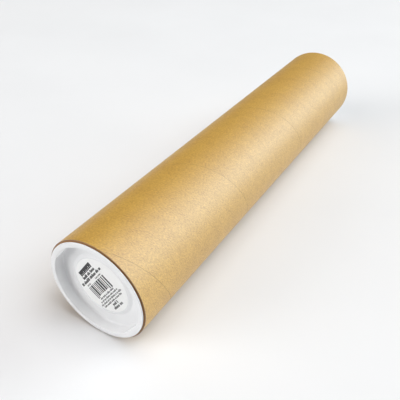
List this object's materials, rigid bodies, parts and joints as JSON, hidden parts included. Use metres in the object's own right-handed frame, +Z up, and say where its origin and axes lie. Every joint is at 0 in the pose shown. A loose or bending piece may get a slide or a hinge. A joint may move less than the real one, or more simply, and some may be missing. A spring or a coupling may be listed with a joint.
{
  "type": "drawing tube",
  "caption": "Spiral-wound cardboard tube for rolled drawings, closed at both ends by recessed white push-in plastic plugs, with a round printed label on the front plug.",
  "frame": {"origin": "on the tube's axis, halfway between its two cut ends", "axes": "+X along the tube's axis towards the labelled front plug, +Z up as the tube lies on its side"},
  "size_m": [0.4034, 0.082, 0.082],
  "materials": {
    "kraft_paper": "satin",
    "core_board": "matte",
    "liner_paper": "matte",
    "white_plastic": "satin",
    "label_paper": "matte"
  },
  "bodies": {
    "tube": {"outer_kraft_ply": "kraft_paper", "core_ply_1": "core_board", "core_ply_2": "core_board", "core_ply_3": "core_board", "core_ply_4": "core_board", "inner_liner_ply": "liner_paper"},
    "front_plug": {"front_cap": "white_plastic", "front_label": "label_paper"},
    "rear_plug": {"rear_cap": "white_plastic"}
  },
  "joints": [
    {"name": "front_plug_pull", "type": "slide", "parent": "tube", "child": "front_plug", "axis": [1, 0, 0], "range_m": [0, 0.08]},
    {"name": "rear_plug_pull", "type": "slide", "parent": "tube", "child": "rear_plug", "axis": [-1, 0, 0], "range_m": [0, 0.08]}
  ]
}
